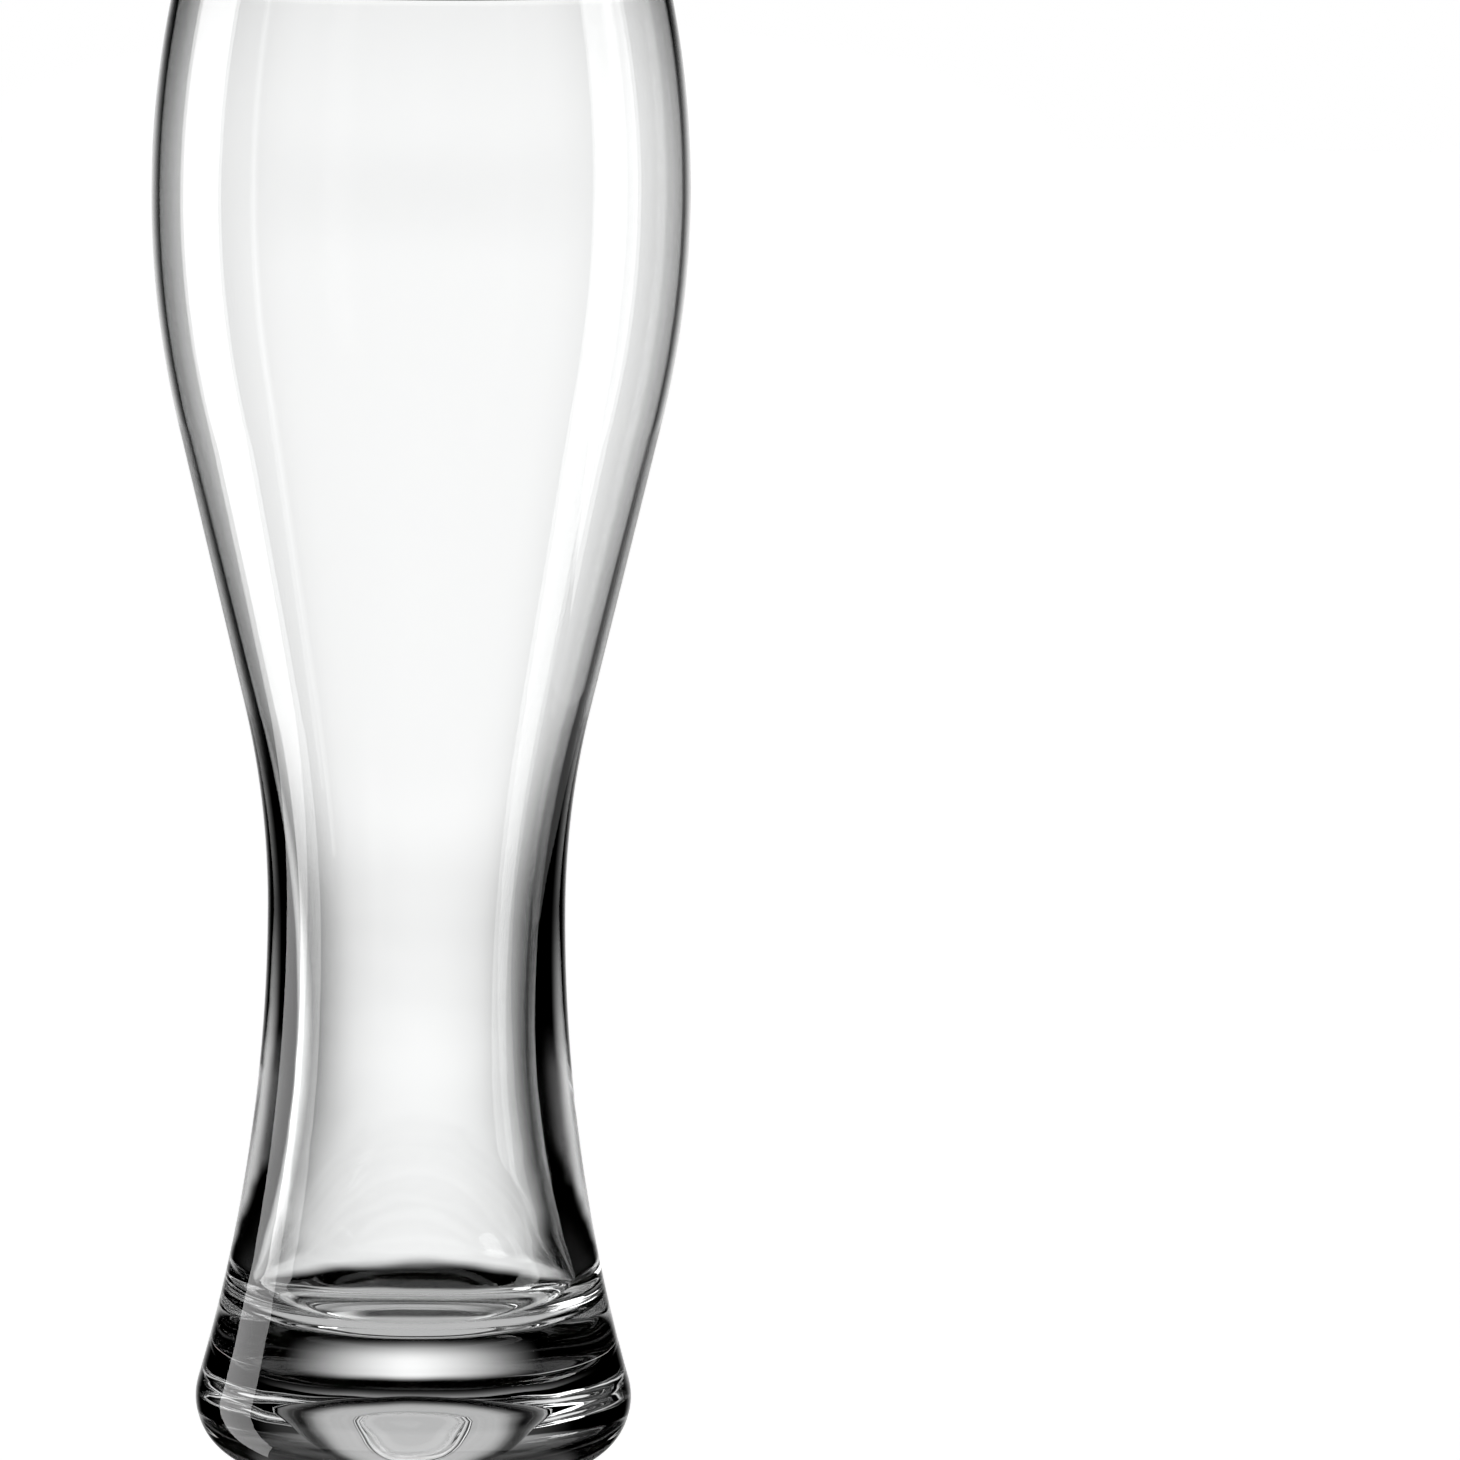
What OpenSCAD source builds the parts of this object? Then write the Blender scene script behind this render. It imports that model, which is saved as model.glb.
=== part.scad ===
// Tall wheat beer glass: a thin bulging bowl tapers to a narrow waist, and below it
// the wall flares and thickens into a heavy solid base with a rounded heel.
// The origin is at the centre of the standing plane, +Z points up.

/* [Overall] */
// Height from the standing plane to the top of the lip
height = 238; // [225:1:260]

/* [Lip and bowl] */
// Outer diameter at the widest point of the bowl
belly_diameter = 85.8; // [76:0.1:96]
// Height of the lip above the widest point
belly_drop = 33.4; // [26:0.2:44]
// How far the lip is drawn in from the widest point, all round
lip_draw = 3.45; // [2:0.05:6]
// Height of the fire-polished band at the top
lip_band = 3; // [2:0.5:8]
// Wall of the bowl and lip
bowl_wall = 1.3; // [1:0.1:2.6]

/* [Taper] */
// Length of the straight run between the bowl's curve and the waist's
taper_run = 47; // [30:1:60]

/* [Waist] */
// Outer diameter at the narrowest point
waist_diameter = 47.8; // [42:0.1:54]
// Height of the narrowest point above the standing plane
waist_height = 90; // [76:1:104]
// How much smaller the hollow is at its narrowest than the waist outside, all round
neck_wall = 4.6; // [3.6:0.1:6]
// How far the hollow's narrowest point lies below the waist
neck_drop = 17.5; // [8:0.5:24]

/* [Base] */
// Outer diameter of the foot at its widest point
foot_diameter = 70.3; // [64:0.1:78]
// Radius of the rounded heel
heel_radius = 10.5; // [6:0.1:12]
// Height of the hollow's floor above the standing plane
floor_height = 23.1; // [17:0.1:28]
// How much wider the hollow is above its floor than at its neck, all round
floor_flare = 6.5; // [4:0.1:8]
// Radius of the rounded corner between floor and wall
floor_corner = 6.8; // [4:0.1:9]
// Width of the flat ring that the glass stands on
ring_width = 1.5; // [0.5:0.1:4]
// Rise of the dome that is pressed up into the base from below
punt_rise = 8.3; // [4:0.1:11]

/* [Hidden] */

// Colours of clear glass: the thick base looks darker than the thin bowl
thin_tint = [0.86, 0.90, 0.91, 0.55];
thick_tint = [0.66, 0.72, 0.74, 0.75];

// Angle between neighbouring points, on the long curves and on the small rounds
sweep_step = 1;
round_step = 6;
$fn = 180;

// Of the two curves that join waist and belly outside, the bulging one's part of their
// joint radius
bulge_share = 0.525;

// Half the wall, and the heights and radii that the outside passes through
half_wall = bowl_wall / 2;
belly_height = height - belly_drop;
waist = [waist_diameter / 2, waist_height];
belly = [belly_diameter / 2, belly_height];
foot_radius = foot_diameter / 2;

// The same for the hollow
neck = [waist[0] - neck_wall, waist_height - neck_drop];
inner_belly = belly - [bowl_wall, 0];
floor_radius = neck[0] + floor_flare;

// Above the belly the middle of the wall is one arc, which ends at the lip's centre
lip_centre = [belly[0] - lip_draw - half_wall, height - half_wall];
lip_rise = lip_centre[1] - belly_height;
crown_sweep = (lip_rise * lip_rise + lip_draw * lip_draw) / (2 * lip_draw);
crown_centre = [belly[0] - half_wall - crown_sweep, belly_height];
lip_angle = asin(lip_rise / crown_sweep);

// Points of an arc in equal steps, from one angle to another
function arc(centre, radius, from, to, step) =
    let (count = ceil(abs(to - from) / step))
    [for (i = [0:count])
        let (angle = from + (to - from) * i / count)
        centre + radius * [cos(angle), sin(angle)]];

// Joint radius of two arcs that leave a low and a high point straight up and down and
// are joined by a straight run that touches both
function joint_radius(low, high, run) =
    let (apart = high - low)
    (apart * apart - run * run) / (2 * apart[0]);

// Slope of that straight run, away from upright
function run_slope(low, high, run) =
    let (apart = high - low, joint = joint_radius(low, high, run))
    atan2(apart[1], joint - apart[0]) - atan2(run, joint);

// Radius of the arc that leaves a point straight down and touches a corner's circle
function flare_radius(top, corner, corner_radius) =
    let (apart = top - corner)
    (apart * apart - corner_radius * corner_radius) / (2 * (corner_radius - apart[0]));

// Side of the glass from its foot to its lip: rounded corner, flare, narrow point,
// straight run, bulge and crown, each touching the next. The outside and the hollow
// both have this form.
function side(floor, foot, corner_radius, low, high, bulge, crown) =
    let (
        corner = [foot - corner_radius, floor + corner_radius],
        flare = flare_radius(low, corner, corner_radius),
        flare_centre = low + [flare, 0],
        meet = atan2(low[1] - corner[1], flare_centre[0] - corner[0]),
        slope = run_slope(low, high, taper_run),
        sweep = joint_radius(low, high, taper_run) - bulge
    )
    concat(
        arc(corner, corner_radius, -90, meet, round_step),
        arc(flare_centre, flare, 180 + meet, 180, sweep_step),
        arc(low + [sweep, 0], sweep, 180, 180 - slope, sweep_step),
        arc(high - [bulge, 0], bulge, -slope, 0, sweep_step),
        arc(crown_centre, crown, 0, lip_angle, sweep_step)
    );

// The bulging curves of outside and hollow share their centre, so the wall stays even
outer_joint = joint_radius(waist, belly, taper_run);
outer_bulge = bulge_share * outer_joint;
outer_side = side(0, foot_radius, heel_radius, waist, belly,
    outer_bulge, crown_sweep + half_wall);
inner_side = side(floor_height, floor_radius, floor_corner, neck, inner_belly,
    outer_bulge - bowl_wall, crown_sweep - half_wall);

// Half circle over the top of the wall
lip_round = arc(lip_centre, half_wall, lip_angle, lip_angle + 180, round_step);

// Dome under the base, inside the standing ring
punt_radius = foot_radius - heel_radius - ring_width;
punt_sweep = (punt_radius * punt_radius + punt_rise * punt_rise) / (2 * punt_rise);
punt_angle = asin(punt_radius / punt_sweep);
punt = arc([0, punt_rise - punt_sweep], punt_sweep, 90, 90 - punt_angle, sweep_step);

// Levels where one length of glass ends and the next begins
outer_slope = run_slope(waist, belly, taper_run);
base_top = floor_height + floor_corner;
waist_top = waist_height + (outer_joint - outer_bulge) * sin(outer_slope);
taper_top = belly_height - outer_bulge * sin(outer_slope);
bowl_top = height - lip_band;

// Half section of the whole glass, from the punt round the outside and down the hollow
module section() {
    polygon(concat(
        punt,
        outer_side,
        lip_round,
        [for (i = [len(inner_side) - 1:-1:0]) inner_side[i]],
        [[0, floor_height]]
    ));
}

// One length of the glass between two levels
module length_of_glass(low, high) {
    rotate_extrude()
        intersection() {
            section();
            translate([0, low]) square([belly_diameter, high - low]);
        }
}

module lip() {
    color(thin_tint) length_of_glass(bowl_top, height);
}

module bowl() {
    color(thin_tint) length_of_glass(taper_top, bowl_top);
}

module taper() {
    color(thin_tint) length_of_glass(waist_top, taper_top);
}

module waist() {
    color(thick_tint) length_of_glass(base_top, waist_top);
}

module base() {
    color(thick_tint) length_of_glass(0, base_top);
}

lip();
bowl();
taper();
waist();
base();
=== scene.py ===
from math import asin, atan2, ceil, cos, degrees, hypot, radians, sin, tau

import bpy
from mathutils import Matrix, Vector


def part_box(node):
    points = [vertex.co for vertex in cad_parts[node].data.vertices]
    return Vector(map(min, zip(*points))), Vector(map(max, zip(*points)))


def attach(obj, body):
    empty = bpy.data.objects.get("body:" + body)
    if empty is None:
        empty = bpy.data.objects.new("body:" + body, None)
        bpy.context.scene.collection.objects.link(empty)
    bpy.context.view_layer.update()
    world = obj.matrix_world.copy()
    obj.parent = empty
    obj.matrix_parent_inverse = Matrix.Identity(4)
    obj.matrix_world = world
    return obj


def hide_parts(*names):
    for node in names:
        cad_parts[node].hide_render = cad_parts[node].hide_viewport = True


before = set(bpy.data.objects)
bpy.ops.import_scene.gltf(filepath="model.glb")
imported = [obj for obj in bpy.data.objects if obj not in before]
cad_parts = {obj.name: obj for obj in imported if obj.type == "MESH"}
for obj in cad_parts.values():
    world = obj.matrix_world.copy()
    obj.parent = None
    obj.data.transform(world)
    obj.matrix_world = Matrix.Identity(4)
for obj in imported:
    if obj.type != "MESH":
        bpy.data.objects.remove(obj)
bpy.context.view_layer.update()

# Camera. A long lens stands about 1.7 m away, a little above the lip, and looks
# down and to the right of the glass, so that the glass fills the left of the frame.
away, eye_height = 1.667, 0.3308
bpy.ops.object.camera_add(location=(0, -away, eye_height))
camera = bpy.context.object
camera.name = "camera"
look_down, look_right, lean = radians(7.239), radians(1.718), radians(0.588)
camera.matrix_world = (
    Matrix.Translation(camera.location)
    @ Matrix.Rotation(-look_right, 4, "Z")
    @ Matrix.Rotation(radians(90) - look_down, 4, "X")
    @ Matrix.Rotation(lean, 4, "Z")
)
camera.data.sensor_width = 36
camera.data.lens = 258.7
bpy.context.scene.camera = camera

# Glass. The real one is a single gob of clear glass, blown in a turned mould, with
# its solid bottom pressed up from below. Its section is drawn here arc by arc and
# turned round the axis to make the whole blank, and five lengths are cut from that.
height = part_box("lip")[1][2]
belly_radius, belly_height, lip_draw, bowl_wall = 0.0429, height - 0.0334, 0.00345, 0.0013
waist_radius, waist_height, taper_run = 0.0239, 0.090, 0.047
neck_radius, neck_height = waist_radius - 0.0046, waist_height - 0.0175
foot_radius, heel_radius, ring_width, punt_rise = 0.03515, 0.0105, 0.0015, 0.0083
floor_height, floor_radius, floor_corner = 0.0231, neck_radius + 0.0065, 0.0068
bulge_share = 0.525
step, widest_turn, turned_steps = 0.0008, 4, 256
straight_step, touching, weld, hair = 4 * step, step / 10, step / 100, step / 1000
crease = radians(30)

half_wall = bowl_wall / 2
lip_centre = (belly_radius - lip_draw - half_wall, height - half_wall)
lip_rise = lip_centre[1] - belly_height
crown_sweep = (lip_rise ** 2 + lip_draw ** 2) / (2 * lip_draw)
crown_centre = (belly_radius - half_wall - crown_sweep, belly_height)
lip_angle = degrees(asin(lip_rise / crown_sweep))
punt_radius = foot_radius - heel_radius - ring_width
punt_sweep = (punt_radius ** 2 + punt_rise ** 2) / (2 * punt_rise)
punt_angle = degrees(asin(punt_radius / punt_sweep))


def joint_radius(low, high):
    """Joint radius of the two curves that a straight run of glass joins."""
    out, up = high[0] - low[0], high[1] - low[1]
    return (out ** 2 + up ** 2 - taper_run ** 2) / (2 * out)


def side_arcs(floor, foot, corner, low, high, bulge, crown):
    """Arcs of one side of the wall, foot to lip: centre, radius, first and last angle."""
    corner_centre = (foot - corner, floor + corner)
    across, down = low[0] - corner_centre[0], low[1] - corner_centre[1]
    flare = (across ** 2 + down ** 2 - corner ** 2) / (2 * (corner - across))
    meet = degrees(atan2(down, low[0] + flare - corner_centre[0]))
    joint = joint_radius(low, high)
    slope = degrees(atan2(high[1] - low[1], joint - high[0] + low[0])
                    - atan2(taper_run, joint))
    sweep = joint - bulge
    return [
        (corner_centre, corner, -90, meet),
        ((low[0] + flare, low[1]), flare, 180 + meet, 180),
        ((low[0] + sweep, low[1]), sweep, 180, 180 - slope),
        ((high[0] - bulge, high[1]), bulge, -slope, 0),
        (crown_centre, crown, 0, lip_angle),
    ]


waist, belly = (waist_radius, waist_height), (belly_radius, belly_height)
outer_bulge = bulge_share * joint_radius(waist, belly)
outside = side_arcs(0, foot_radius, heel_radius, waist, belly,
                    outer_bulge, crown_sweep + half_wall)
inside = side_arcs(floor_height, floor_radius, floor_corner, (neck_radius, neck_height),
                   (belly_radius - bowl_wall, belly_height), outer_bulge - bowl_wall,
                   crown_sweep - half_wall)
punt = ((0, punt_rise - punt_sweep), punt_sweep, 90, 90 - punt_angle)
lip_round = (lip_centre, half_wall, lip_angle, lip_angle + 180)
downward = [(centre, radius, last, first) for centre, radius, first, last in reversed(inside)]
section = [punt] + outside + [lip_round] + downward


def on_arc(centre, radius, angle):
    """Point of an arc in the plane of the section."""
    angle = radians(angle)
    return (centre[0] + radius * cos(angle), 0, centre[1] + radius * sin(angle))


bpy.ops.object.select_all(action="DESELECT")
bpy.ops.mesh.primitive_plane_add(size=step, location=(0, 0, punt_rise))
blank = bpy.context.object
blank.name = "blank"
bpy.ops.object.mode_set(mode="EDIT")
bpy.ops.mesh.merge(type="CENTER")
here = (0, 0, punt_rise)
for centre, radius, first, last in section:
    start = on_arc(centre, radius, first)
    gap = [b - a for a, b in zip(here, start)]
    if hypot(*gap) > touching:
        pieces = ceil(hypot(*gap) / straight_step)
        for _ in range(pieces):
            bpy.ops.mesh.extrude_region_move(
                TRANSFORM_OT_translate={"value": [g / pieces for g in gap]})
    turn = abs(last - first)
    count = max(ceil(turn / widest_turn), ceil(radians(turn) * radius / step))
    bpy.ops.mesh.spin(steps=count, angle=radians(last - first),
                      center=(centre[0], 0, centre[1]), axis=(0, 1, 0))
    here = on_arc(centre, radius, last)
bpy.ops.mesh.extrude_region_move(TRANSFORM_OT_translate={"value": (-here[0], 0, 0)})
bpy.ops.mesh.select_all(action="SELECT")
bpy.ops.mesh.remove_doubles(threshold=weld)
bpy.ops.mesh.spin(steps=turned_steps, angle=tau, center=(0, 0, 0), axis=(0, 0, 1))
bpy.ops.mesh.select_all(action="SELECT")
bpy.ops.mesh.remove_doubles(threshold=weld)
bpy.ops.mesh.normals_make_consistent(inside=False)
bpy.ops.object.mode_set(mode="OBJECT")
bpy.ops.object.transform_apply()
bpy.ops.object.shade_smooth_by_angle(angle=crease)

# Clear glass. The thick bottom froze against the mould and kept faint flow marks,
# which fade out by the waist. The standing ring is scuffed dull by tables.
clear = bpy.data.materials.new("clear_glass")
clear.use_nodes = True
nodes, link = clear.node_tree.nodes, clear.node_tree.links.new
shader = nodes["Principled BSDF"]
shader.inputs["Transmission Weight"].default_value = 1
shader.inputs["IOR"].default_value = 1.52
coords = nodes.new("ShaderNodeTexCoord").outputs["Object"]
place = nodes.new("ShaderNodeSeparateXYZ")
link(coords, place.inputs[0])
level = place.outputs["Z"]


def feed(sockets, values):
    """Give each socket its number, or link it to the socket that feeds it."""
    for socket, value in zip(sockets, values):
        if isinstance(value, (int, float)):
            socket.default_value = value
        else:
            socket.id_data.links.new(value, socket)


def calc(tree, operation, *values):
    """One maths node; each value is a number or a socket."""
    node = tree.nodes.new("ShaderNodeMath")
    node.operation = operation
    feed(node.inputs, values)
    return node.outputs[0]


def ramp(along, low, high, at_low, at_high, blend="LINEAR"):
    """A value that changes between two places along another, and stays the same beyond."""
    node = along.id_data.nodes.new("ShaderNodeMapRange")
    node.interpolation_type = blend
    feed([node.inputs[key] for key in ("Value", "From Min", "From Max", "To Min", "To Max")],
         [along, low, high, at_low, at_high])
    return node.outputs["Result"]


def mottle(scale, detail, flatten):
    """Soft irregular pattern on the glass, drawn out round it where flatten is over 1."""
    squeeze = nodes.new("ShaderNodeMapping")
    squeeze.inputs["Scale"].default_value = (1, 1, flatten)
    link(coords, squeeze.inputs["Vector"])
    node = nodes.new("ShaderNodeTexNoise")
    link(squeeze.outputs["Vector"], node.inputs["Vector"])
    node.inputs["Scale"].default_value = scale
    node.inputs["Detail"].default_value = detail
    return node.outputs["Fac"]


thickness_tint = nodes.new("ShaderNodeMix")
thickness_tint.data_type = "RGBA"
link(ramp(level, low=0.024, high=0.09, at_low=0, at_high=1), thickness_tint.inputs["Factor"])
thickness_tint.inputs["A"].default_value = (0.975, 0.98, 0.979, 1)
thickness_tint.inputs["B"].default_value = (0.987, 0.99, 0.989, 1)
link(thickness_tint.outputs["Result"], shader.inputs["Base Color"])

flow_marks = nodes.new("ShaderNodeBump")
flow_marks.inputs["Distance"].default_value = 0.00012
flow = mottle(scale=70, detail=1, flatten=1.6)
thick_part = ramp(level, low=0.03, high=0.085, at_low=1, at_high=0.04)
link(calc(clear.node_tree, "MULTIPLY", flow, thick_part), flow_marks.inputs["Height"])
link(flow_marks.outputs["Normal"], shader.inputs["Normal"])

scuffs = mottle(scale=900, detail=3, flatten=1)
standing_ring = ramp(level, low=0.0001, high=0.0005, at_low=0.6, at_high=0)
link(calc(clear.node_tree, "MULTIPLY", scuffs, standing_ring), shader.inputs["Roughness"])

# Places where one length of glass runs on into the next. Light goes through them as
# through the middle of the real wall, which has no surface there.
fused = bpy.data.materials.new("fused")
fused.use_nodes = True
fused.node_tree.nodes.clear()
through = fused.node_tree.nodes.new("ShaderNodeBsdfTransparent")
fused.node_tree.links.new(through.outputs[0],
                          fused.node_tree.nodes.new("ShaderNodeOutputMaterial").inputs[0])


def cut_length(name):
    """Copy the blank, keep the length between one node's levels and close the cuts."""
    bpy.ops.object.select_all(action="DESELECT")
    blank.select_set(True)
    bpy.context.view_layer.objects.active = blank
    bpy.ops.object.duplicate()
    piece = bpy.context.object
    piece.name = name + "_glass"
    piece.data.materials.append(clear)
    piece.data.materials.append(fused)
    bpy.ops.object.vertex_group_add()
    bpy.ops.object.mode_set(mode="EDIT")
    low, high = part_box(name)[0][2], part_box(name)[1][2]
    for cut, upper in ((low, False), (high, True)):
        if step < cut < height - step:
            bpy.ops.mesh.select_all(action="SELECT")
            bpy.ops.mesh.bisect(plane_co=(0, 0, cut), plane_no=(0, 0, 1), threshold=hair,
                                clear_inner=not upper, clear_outer=upper)
            bpy.ops.mesh.select_all(action="DESELECT")
            bpy.ops.object.mode_set(mode="OBJECT")
            points = piece.data.vertices
            for edge in piece.data.edges:
                edge.select = all(abs(points[i].co.z - cut) < hair for i in edge.vertices)
            bpy.ops.object.mode_set(mode="EDIT")
            bpy.ops.object.vertex_group_assign()
            bpy.ops.mesh.bridge_edge_loops()
            piece.active_material_index = 1
            bpy.ops.object.material_slot_assign()
    bpy.ops.mesh.select_all(action="SELECT")
    bpy.ops.mesh.normals_make_consistent(inside=False)
    bpy.ops.object.mode_set(mode="OBJECT")
    bpy.ops.object.shade_smooth_by_angle(angle=crease)
    # The cut edges take their shading from the blank, so that no joint shows.
    bpy.ops.object.modifier_add(type="DATA_TRANSFER")
    run_on = piece.modifiers[-1]
    run_on.object = blank
    run_on.use_loop_data = True
    run_on.data_types_loops = {"CUSTOM_NORMAL"}
    run_on.loop_mapping = "POLYINTERP_NEAREST"
    run_on.vertex_group = piece.vertex_groups[0].name
    bpy.ops.object.modifier_apply(modifier=run_on.name)
    bpy.ops.object.vertex_group_remove(all=True)
    return piece


# Lip. The rim was cracked off hot and melted round by a flame, drawn in a little
# from the belly so that the head of the drink stands up.
lip = cut_length("lip")
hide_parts("lip")
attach(lip, "root")

# Bowl. The thinnest part of the wall, blown out to the belly near the top. It runs
# on into the lip above and the taper below without a seam.
bowl = cut_length("bowl")
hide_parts("bowl")
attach(bowl, "root")

# Taper. The straight run of the wall where the hand holds the glass. The wall
# thickens downward from here.
taper = cut_length("taper")
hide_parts("taper")
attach(taper, "root")

# Waist. The narrowest part and the flare below it. Its thick wall pipes the light,
# which makes the dark and bright lines along both sides.
waist_length = cut_length("waist")
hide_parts("waist")
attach(waist_length, "root")

# Base. Solid glass between the hollow's rounded floor and the dome pressed up from
# below, with a rounded heel and the narrow ring that the glass stands on.
base = cut_length("base")
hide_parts("base")
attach(base, "root")
bpy.data.objects.remove(blank)

# Floor. A white sheet, lit from below, carries the glass.
sheet_across = 6
bpy.ops.mesh.primitive_plane_add(size=sheet_across)
floor = bpy.context.object
floor.name = "floor"
white = bpy.data.materials.new("white_sheet")
white.use_nodes = True
sheet = white.node_tree.nodes["Principled BSDF"]
sheet.inputs["Base Color"].default_value = (0.9, 0.9, 0.9, 1)
sheet.inputs["Roughness"].default_value = 0.6
sheet.inputs["Emission Color"].default_value = (1, 1, 1, 1)
sheet.inputs["Emission Strength"].default_value = 0.93
floor.data.materials.append(white)
floor.visible_transmission = False
floor.visible_glossy = False

# Studio. Two soft panels stand behind the glass, a wide pale card in front and the
# lit table below, with dark gaps between them that draw the glass's edges. Each light
# has its place in degrees as seen from the glass, and soft edges.
world = bpy.data.worlds.new("studio")
bpy.context.scene.world = world
world.use_nodes = True
studio = world.node_tree

soft_light = bpy.data.node_groups.new("soft_light", "ShaderNodeTree")
for name in ("Across", "Up", "Left", "Right", "Side Blur", "Bottom", "Bottom Blur",
             "Top", "Top Blur", "Strength"):
    soft_light.interface.new_socket(name, in_out="INPUT", socket_type="NodeSocketFloat")
soft_light.interface.new_socket("Light", in_out="OUTPUT", socket_type="NodeSocketFloat")
given = soft_light.nodes.new("NodeGroupInput").outputs
light = given["Strength"]
for along, edge, blur, before, beyond in (
    ("Across", "Left", "Side Blur", 0, 1), ("Across", "Right", "Side Blur", 1, 0),
    ("Up", "Bottom", "Bottom Blur", 0, 1), ("Up", "Top", "Top Blur", 1, 0),
):
    starts = calc(soft_light, "SUBTRACT", given[edge], given[blur])
    ends = calc(soft_light, "ADD", given[edge], given[blur])
    soft_edge = ramp(given[along], starts, ends, before, beyond, blend="SMOOTHSTEP")
    light = calc(soft_light, "MULTIPLY", light, soft_edge)
feed(soft_light.nodes.new("NodeGroupOutput").inputs, [light])


def place_light(name, across, up, left, right, side_blur, bottom, bottom_blur, top, top_blur,
                strength):
    """Place one soft light between its edges, and return its strength at each place."""
    group = across.id_data.nodes.new("ShaderNodeGroup")
    group.node_tree = soft_light
    group.label = name
    feed(group.inputs, (across, up, left, right, side_blur, bottom, bottom_blur, top, top_blur,
                        strength))
    return group.outputs["Light"]


def bearing(place):
    """Degrees round the glass from straight behind it, more to the right."""
    return calc(place.id_data, "DEGREES",
                calc(place.id_data, "ARCTAN2", place.outputs["X"], place.outputs["Y"]))


def from_camera_side(angle):
    """The same counted from straight in front of the glass, more to the left."""
    whole_turn, half_turn = 360, 180
    return calc(angle.id_data, "SUBTRACT",
                calc(angle.id_data, "WRAP", angle, whole_turn, 0), half_turn)


def went_straight(tree):
    """1 for light that went through glass without being mirrored in it, otherwise 0."""
    rays = tree.nodes.new("ShaderNodeLightPath").outputs
    return calc(tree, "MULTIPLY", rays["Is Transmission Ray"],
                calc(tree, "LESS_THAN", rays["Glossy Depth"], 1))


look = studio.nodes.new("ShaderNodeSeparateXYZ")
feed(look.inputs, [studio.nodes.new("ShaderNodeTexCoord").outputs["Generated"]])
behind = bearing(look)
front = from_camera_side(behind)
up = calc(studio, "DEGREES", calc(studio, "ARCSINE", look.outputs["Z"]))

lights = [
    place_light("panel_behind", behind, up, left=-12, right=13, side_blur=15,
                bottom=-16.5, bottom_blur=5.8, top=-1.5, top_blur=2.6, strength=1.1),
    place_light("high_panel_behind", behind, up, left=-38, right=26, side_blur=16,
                bottom=21, bottom_blur=13, top=75, top_blur=7, strength=0.49),
    place_light("front_card", front, up, left=-76, right=76, side_blur=19,
                bottom=-38.5, bottom_blur=2, top=-4.5, top_blur=6.5, strength=0.95),
    place_light("table", behind, up, left=-200, right=200, side_blur=1,
                bottom=-120, bottom_blur=5, top=-41.5, top_blur=4.5, strength=0.53),
]
total = lights[0]
for light in lights[1:]:
    total = calc(studio, "ADD", total, light)

# Light for what shows straight through the glass, so that it is clear from the sides
# too: two side panels, and the pale room for light that crossed both of its walls.
# The camera itself sees white.
straight = went_straight(studio)
rays = studio.nodes.new("ShaderNodeLightPath").outputs
faces_of_both_walls = 4
both_walls = calc(studio, "MULTIPLY", straight,
                  calc(studio, "GREATER_THAN", rays["Transmission Depth"],
                       faces_of_both_walls - 0.5))
room_glow = 0.9
room_sides = {"left": -140, "right": 158, "side_blur": 9}
room_height = {"bottom": -60, "bottom_blur": 8, "top": 60, "top_blur": 8}
side_panels = place_light("side_panels", front, up, left=-105, right=105, side_blur=8,
                          **room_height, strength=room_glow)
room = place_light("room", front, up, **room_sides, **room_height, strength=room_glow)
for shown, light in ((straight, side_panels), (both_walls, room)):
    total = calc(studio, "MAXIMUM", total, calc(studio, "MULTIPLY", shown, light))
background = studio.nodes["Background"]
background.inputs["Color"].default_value = (1, 1, 1, 1)
feed([background.inputs["Strength"]], [calc(studio, "MAXIMUM", total, rays["Is Camera Ray"])])
bpy.context.scene.view_settings.view_transform = "Standard"


# Far table. A pale table top that begins some way from the glass. It shows only
# straight through the glass, and keeps its mouth pale in views from the side. Its
# lengths away from the glass are in metres.
def glow_where(tree, strength, shown):
    """Make a material glow where it is shown, and let light by elsewhere."""
    glow = tree.nodes.new("ShaderNodeEmission")
    gap = tree.nodes.new("ShaderNodeBsdfTransparent")
    mix = tree.nodes.new("ShaderNodeMixShader")
    end = tree.nodes.new("ShaderNodeOutputMaterial")
    feed([glow.inputs["Strength"], *mix.inputs, end.inputs[0]],
         [strength, shown, gap.outputs[0], glow.outputs[0], mix.outputs[0]])


above_sheet = 0.0005
bpy.ops.mesh.primitive_plane_add(size=sheet_across, location=(0, 0, above_sheet))
far_table = bpy.context.object
far_table.name = "far_table"
far_table.visible_camera = False
far_table.visible_diffuse = False
far_table.visible_glossy = False
far_table.visible_shadow = False
pale = bpy.data.materials.new("pale_table")
pale.use_nodes = True
pale_tree = pale.node_tree
pale_tree.nodes.clear()
spot = pale_tree.nodes.new("ShaderNodeSeparateXYZ")
reach = pale_tree.nodes.new("ShaderNodeVectorMath")
reach.operation = "LENGTH"
feed([spot.inputs[0], reach.inputs[0]],
     [pale_tree.nodes.new("ShaderNodeTexCoord").outputs["Object"]] * 2)
table_top = place_light("far_table", from_camera_side(bearing(spot)), reach.outputs["Value"],
                        **room_sides, bottom=0.8, bottom_blur=0.1, top=2.9, top_blur=0.05,
                        strength=1)
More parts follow.
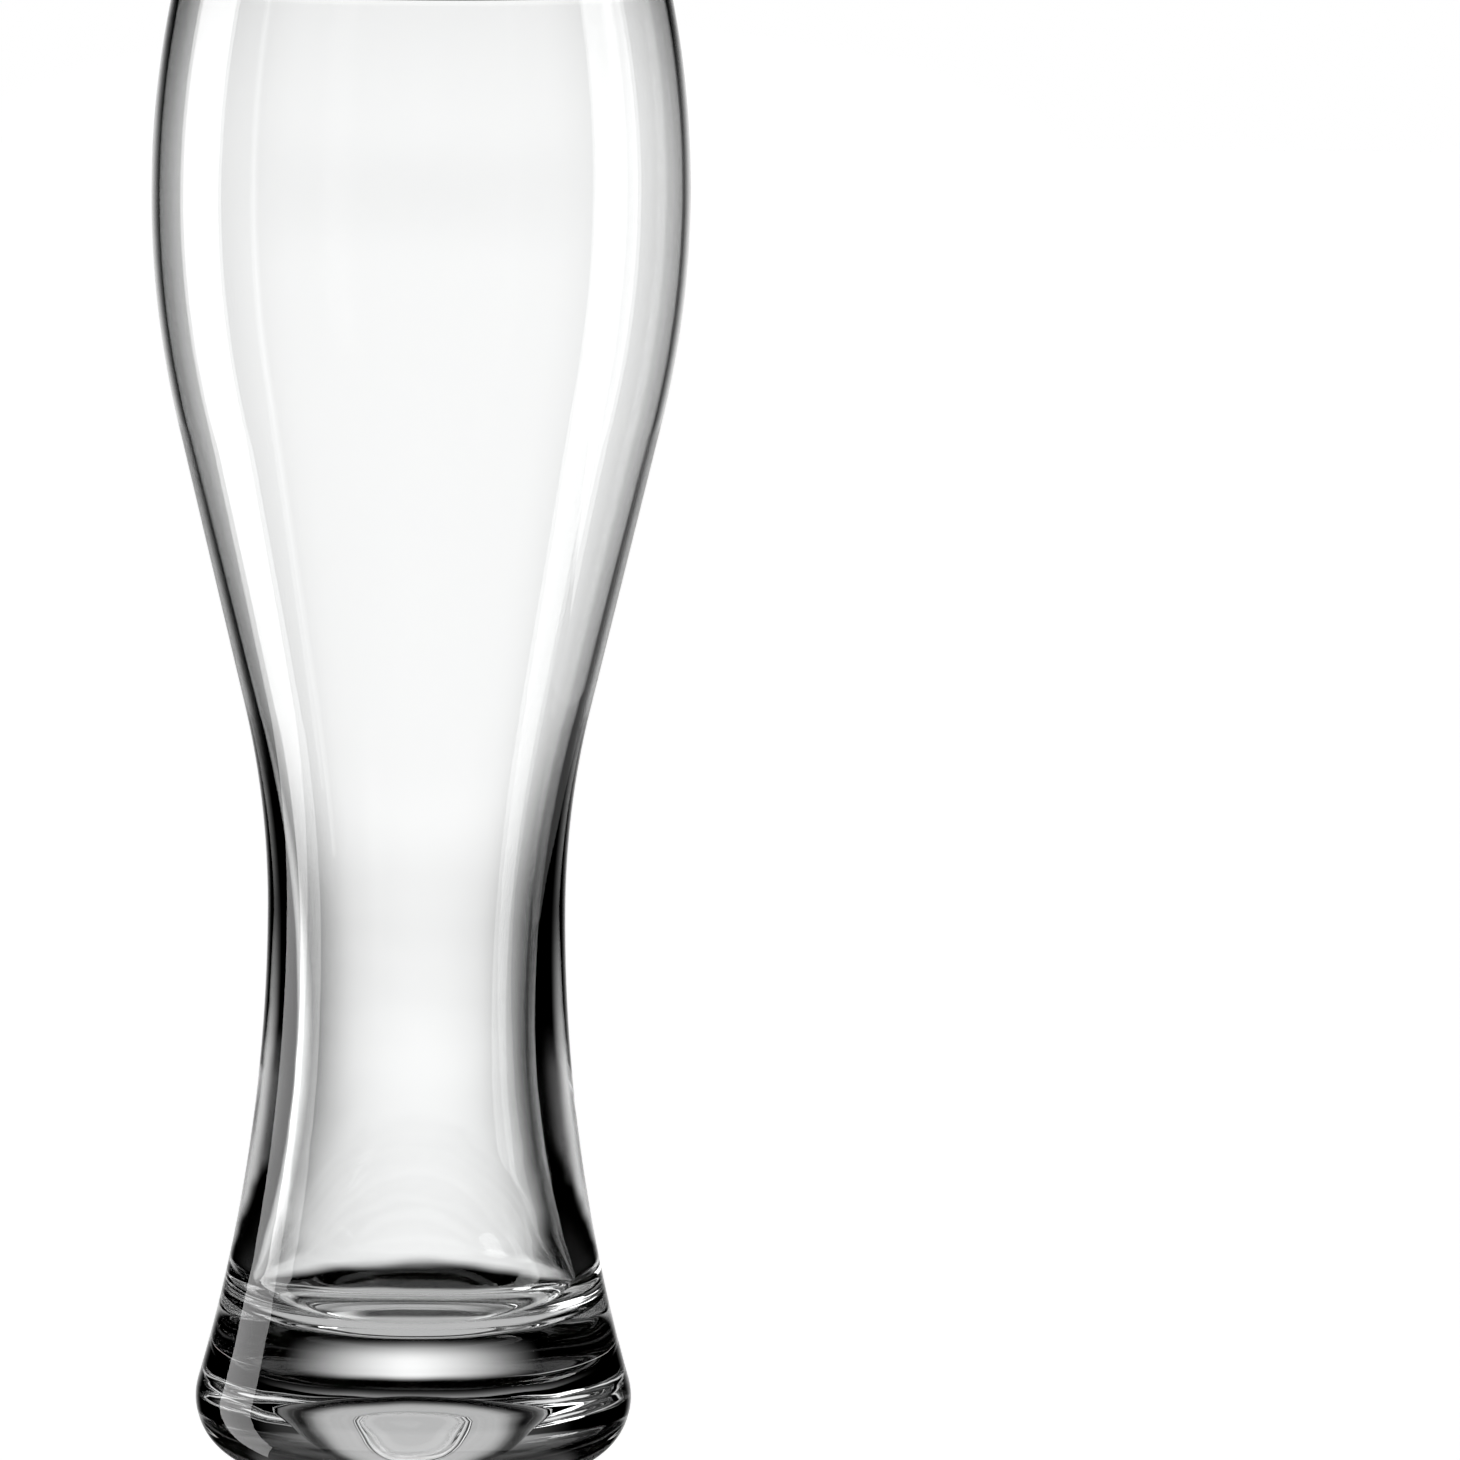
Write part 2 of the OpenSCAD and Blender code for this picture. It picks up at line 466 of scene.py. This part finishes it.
glow_where(pale_tree, strength=room_glow,
           shown=calc(pale_tree, "MULTIPLY", table_top, went_straight(pale_tree)))
far_table.data.materials.append(pale)


# Cards. Lit upright cards stand close on both sides of the glass. They draw the pale
# strips down its sides, and show only mirrored in the glass, not straight through it
# and not in the camera's own view.
def stand_card(name, first, last, bottom, top, glow_first, glow_last):
    """Stand a lit card near the glass; its glow changes evenly from one edge to the other."""
    across = [b - a for a, b in zip(first, last)]
    middle = [(a + b) / 2 for a, b in zip(first, last)]
    bpy.ops.mesh.primitive_plane_add(
        size=1, location=(middle[0], middle[1], (bottom + top) / 2),
        rotation=(radians(90), 0, atan2(across[1], across[0])))
    card = bpy.context.object
    card.name = name
    card.scale = (hypot(*across), top - bottom, 1)
    lit = bpy.data.materials.new(name)
    lit.use_nodes = True
    tree = lit.node_tree
    tree.nodes.clear()
    place = tree.nodes.new("ShaderNodeSeparateXYZ")
    feed(place.inputs, [tree.nodes.new("ShaderNodeTexCoord").outputs["Object"]])
    first_edge, last_edge = -0.5, 0.5
    glow_where(tree,
               strength=ramp(place.outputs["X"], first_edge, last_edge, glow_first, glow_last),
               shown=calc(tree, "SUBTRACT", 1, went_straight(tree)))
    card.data.materials.append(lit)
    card.visible_camera = False
    card.visible_diffuse = False


stand_card("left_card", first=(-0.278, 0.0), last=(-0.188, 0.085),
           bottom=-0.2, top=0.294, glow_first=2.75, glow_last=2.5)
stand_card("right_card", first=(0.232, -0.018), last=(0.146, 0.011),
           bottom=0.085, top=0.28, glow_first=0.48, glow_last=2.4)
stand_card("right_grey_card", first=(0.1365, 0.0085), last=(0.126, 0.15),
           bottom=0.072, top=0.275, glow_first=0.45, glow_last=0.17)

# Light that has met this many surfaces is lost in the thick glass. The places where
# its lengths run on don't count as surfaces, and have their own limit.
most_surfaces, most_joints = 10, 32
cycles = bpy.context.scene.cycles
cycles.max_bounces = most_surfaces
cycles.transmission_bounces = most_surfaces
cycles.glossy_bounces = most_surfaces
cycles.transparent_max_bounces = most_joints
